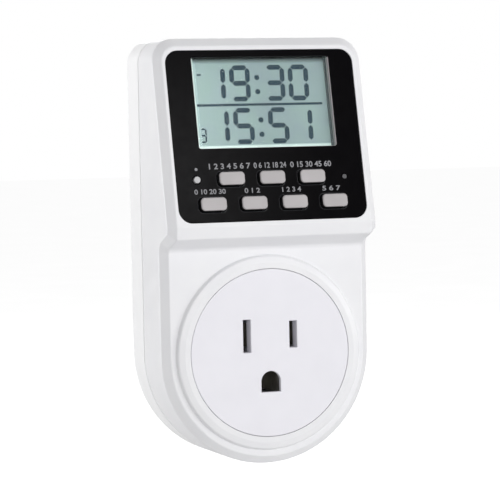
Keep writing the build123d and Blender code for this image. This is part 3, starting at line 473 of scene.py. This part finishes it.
# Partly painted shade: this dark strip also stands for the shadow at the foot of the right wall.
piece("lcd_gasket_and_painted_shade", *slabs([gasket], LCD_FACE, LCD_FACE + GASKET_T), HOUSING, gasket_and_shade_foam, "switch_black")
LINER_W, LINER_H = WINDOW_W - 0.02, WINDOW_H - 0.02
SIDE_WALLS, TOP_AND_FOOT = 0.18, 0.08  # left and right wall together, and skin and foot together
LINER_RISE = 0.02  # how much higher the inside sits, which makes the skin thinner than the foot
outer = rounded(WINDOW_U, WINDOW_V, LINER_W, LINER_H, 0.6, 4)
inner = rounded(WINDOW_U, WINDOW_V + LINER_RISE, LINER_W - SIDE_WALLS, LINER_H - TOP_AND_FOOT, 0.55, 4)
LINER_FRONT, LINER_BACK = -0.4, -2.2
for place, low, high in (("front", PANE_FRONT, LINER_FRONT), ("back", LINER_BACK, PANE_BACK)):
    piece(f"window_liner_{place}", *frames(outer, inner, low, high), HOUSING, liner_grey, "natural_nylon")

# ---- Rims of the key holes -------------------------------------------------------------------

RIM_R = 0.3  # the hole's bevel, which the rim rounds off
HOLE_W, HOLE_H, HOLE_R = 7.2, 3.75, 1.2
KEY_PITCH, UPPER_KEYS, LOWER_KEYS = 11.0, -11.29, -17.77
KEY_PLACES = [
    (KEY_PITCH * i, row) for row, steps in ((UPPER_KEYS, (-1, 0, 1)), (LOWER_KEYS, (-1.5, -0.5, 0.5, 1.5)))
    for i in steps
]


def rim(cx, cy, first):
    """Rounded rim of one key hole: a quarter circle of radius RIM_R carried round the hole's outline.

    Row i lies RIM_R (1 - cos t) outside the hole and RIM_R sin t above the foot of its bevel, t running
    from 0 to a right angle. A first and a last row are sunk into the panel, and close on each other.
    """
    turn, sink = np.linspace(0, pi / 2, 7), 0.015
    away, rise = RIM_R * (1 - np.cos(turn)), RIM_R * np.sin(turn)
    away = np.concatenate([[away[0] + sink], away, [away[-1] + sink]])
    rise = np.concatenate([[rise[0] - sink], rise, [rise[-1] - sink]])
    lines = [rounded(cx, cy, HOLE_W + 2 * a, HOLE_H + 2 * a, HOLE_R + a) for a in away]
    foot = PANEL_FACE - RIM_R
    points = np.concatenate([on_panel(line[:, 0], line[:, 1], foot + h) for line, h in zip(lines, rise)])
    return points, tube_faces(len(lines), len(lines[0]), first)


rim_points, rim_faces = [], []
for cx, cy in KEY_PLACES:
    points, faces = rim(cx, cy, sum(map(len, rim_points)))
    rim_points.append(points)
    rim_faces += faces
rims = piece("key_hole_rims", np.concatenate(rim_points), rim_faces, HOUSING, black_rim, "black_panel")
rims.data.polygons.foreach_set("use_smooth", [True] * len(rims.data.polygons))

# ---- Printing on the panel -------------------------------------------------------------------

# Plain numbers over the keys: left end, right end, middle and height of each group.
LABELS = [
    ("1 2 3 4 5 6 7", -16.5, -5.3, -7.9, 1.5), ("0 6 12 18 24", -4.4, 4.5, -7.9, 1.5),
    ("0 15 30 45 60", 5.6, 16.9, -7.9, 1.5), ("0 10 20 30", -21.0, -12.6, -14.35, 1.3),
    ("0 1 2", -7.5, -3.3, -14.35, 1.3), ("1 2 3 4", 2.75, 7.9, -14.35, 1.3),
    ("5 6 7", 13.8, 18.8, -14.35, 1.3),
]
INK_T = 0.02
HEAVIER = 0.022  # how far the strokes are swollen, as a share of the type size
for number, (words, left, right, middle, height) in enumerate(LABELS, 1):
    curve = bpy.data.curves.new("numbers", "FONT")
    curve.body = words
    curve.offset = HEAVIER
    text = bpy.data.objects.new("numbers", curve)
    bpy.context.scene.collection.objects.link(text)
    bpy.context.view_layer.update()
    mesh = bpy.data.meshes.new_from_object(text.evaluated_get(bpy.context.evaluated_depsgraph_get()))
    bpy.data.objects.remove(text)
    flat = np.empty(3 * len(mesh.vertices), np.float32)
    mesh.vertices.foreach_get("co", flat)
    flat = flat.reshape(-1, 3)
    # stretched to the group's width and height, then laid on the panel
    low, high = flat.min(0), flat.max(0)
    u = left + (flat[:, 0] - low[0]) * (right - left) / (high[0] - low[0])
    v = middle + (flat[:, 1] - (low[1] + high[1]) / 2) * height / (high[1] - low[1])
    laid = on_panel(u, v, np.full(len(u), PANEL_FACE + INK_T))
    mesh.vertices.foreach_set("co", laid.astype(np.float32).ravel())
    mesh.update()
    mesh.materials.clear()
    mesh.materials.append(print_white)
    label = bpy.data.objects.new(f"panel_numbers_{number}", mesh)
    bpy.context.scene.collection.objects.link(label)
    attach(label, HOUSING)

dot = disc(-20.0, -8.55, 0.4)
piece("panel_dot", *slabs([dot], PANEL_FACE, PANEL_FACE + INK_T), HOUSING, print_white, "reset_white")

# ---- Camera, lamps and room ------------------------------------------------------------------

# A long lens, in front of the object and to its left: it looks slightly down and is rolled a little.
LENS_MM, SENSOR_MM = 180.0, 36.0
turn, down, roll = radians(20.42), radians(3.049), radians(1.17)
distance = 0.64113
aim = np.array([-4.483, -26.0, 2.03]) * MM
ahead = np.array([sin(turn) * cos(down), cos(turn) * cos(down), -sin(down)])
level = np.array([cos(turn), -sin(turn), 0.0])
below = np.cross(ahead, level)
right_hand = cos(roll) * level + sin(roll) * below
downward = -sin(roll) * level + cos(roll) * below
camera_data = bpy.data.cameras.new("camera")
camera_data.lens, camera_data.sensor_width = LENS_MM, SENSOR_MM
camera_data.clip_start, camera_data.clip_end = 0.01, 50.0
camera = bpy.data.objects.new("camera", camera_data)
bpy.context.scene.collection.objects.link(camera)
camera.matrix_world = Matrix.Translation(Vector(aim - distance * ahead)) @ Matrix(
    (right_hand, -downward, -ahead)
).transposed().to_4x4()
bpy.context.scene.camera = camera

LAMP_AWAY = 1.2


def lamp(name, azimuth, height, size, power):
    """Square soft lamp aimed at the object: azimuth from the front towards the right, then height."""
    a, e = radians(azimuth), radians(height)
    side = Vector((sin(a) * cos(e), -cos(a) * cos(e), sin(e)))
    data = bpy.data.lights.new(name, "AREA")
    data.shape, data.size, data.energy = "SQUARE", size, power
    obj = bpy.data.objects.new(name, data)
    bpy.context.scene.collection.objects.link(obj)
    facing = side.to_track_quat("Z", "Y").to_matrix().to_4x4()
    obj.matrix_world = Matrix.Translation(LAMP_AWAY * side) @ facing


lamp("soft_right", 44, 4, 0.5, 3.7)
lamp("soft_front", 0, 6, 0.5, 3.2)
lamp("soft_side", -126, 6, 0.5, 6.9)
lamp("soft_high", 17.3, 22.6, 0.14, 0.55)
lamp("soft_back", 155, 25, 0.6, 2.5)

FILL_LIGHT = 0.42  # what the white room gives to matt surfaces; mirrors and the camera see it white

world = bpy.data.worlds.new("studio")
bpy.context.scene.world = world
world.use_nodes = True
world.node_tree.nodes.clear()
paths = add(world.node_tree, "ShaderNodeLightPath")
seen = add(world.node_tree, "ShaderNodeMath", {0: paths.outputs["Is Camera Ray"],
           1: paths.outputs["Is Glossy Ray"]}, operation="MAXIMUM")
seen = add(world.node_tree, "ShaderNodeMath", {0: seen.outputs[0],
           1: paths.outputs["Is Transmission Ray"]}, operation="MAXIMUM")
level_of_light = add(world.node_tree, "ShaderNodeMapRange",
                     {"Value": seen.outputs[0], "To Min": FILL_LIGHT, "To Max": 1.0})
sky = add(world.node_tree, "ShaderNodeBackground",
          {"Color": (1.0, 1.0, 1.0, 1.0), "Strength": level_of_light.outputs["Result"]})
add(world.node_tree, "ShaderNodeOutputWorld", {"Surface": sky.outputs[0]})

FLOOR_LIFT = 0.6


def floor_finish():
    """Matt white studio floor, lifted for the camera so that it reads as white where no shadow falls."""
    material, tree = new_material("paint_matt_white_floor")
    uneven = spread(tree, noise(tree, object_point(tree), 60.0), 0, 1)
    tint = blend_colour(tree, uneven, rgb("#F4F4F4"), rgb("#F0F0F0"))
    paint = add(tree, "ShaderNodeBsdfDiffuse", {"Color": tint}).outputs[0]
    seen = add(tree, "ShaderNodeLightPath").outputs["Is Camera Ray"]
    lift = add(tree, "ShaderNodeMath", {0: seen, 1: FLOOR_LIFT}, operation="MULTIPLY").outputs[0]
    glow = add(tree, "ShaderNodeEmission", {"Strength": lift}).outputs[0]
    close(tree, add(tree, "ShaderNodeAddShader", {0: paint, 1: glow}).outputs[0])
    return material


FLOOR_Z, FLOOR_HALF = -0.125, 6.0
corners = np.array([[-1, -1, 0], [1, -1, 0], [1, 1, 0], [-1, 1, 0]]) * FLOOR_HALF + [0, 0, FLOOR_Z]
floor_mesh = bpy.data.meshes.new("floor")
floor_mesh.from_pydata(corners.tolist(), [], [[0, 1, 2, 3]])
floor_mesh.materials.append(floor_finish())
floor = bpy.data.objects.new("floor", floor_mesh)
bpy.context.scene.collection.objects.link(floor)

bpy.context.scene.view_settings.view_transform = "Standard"
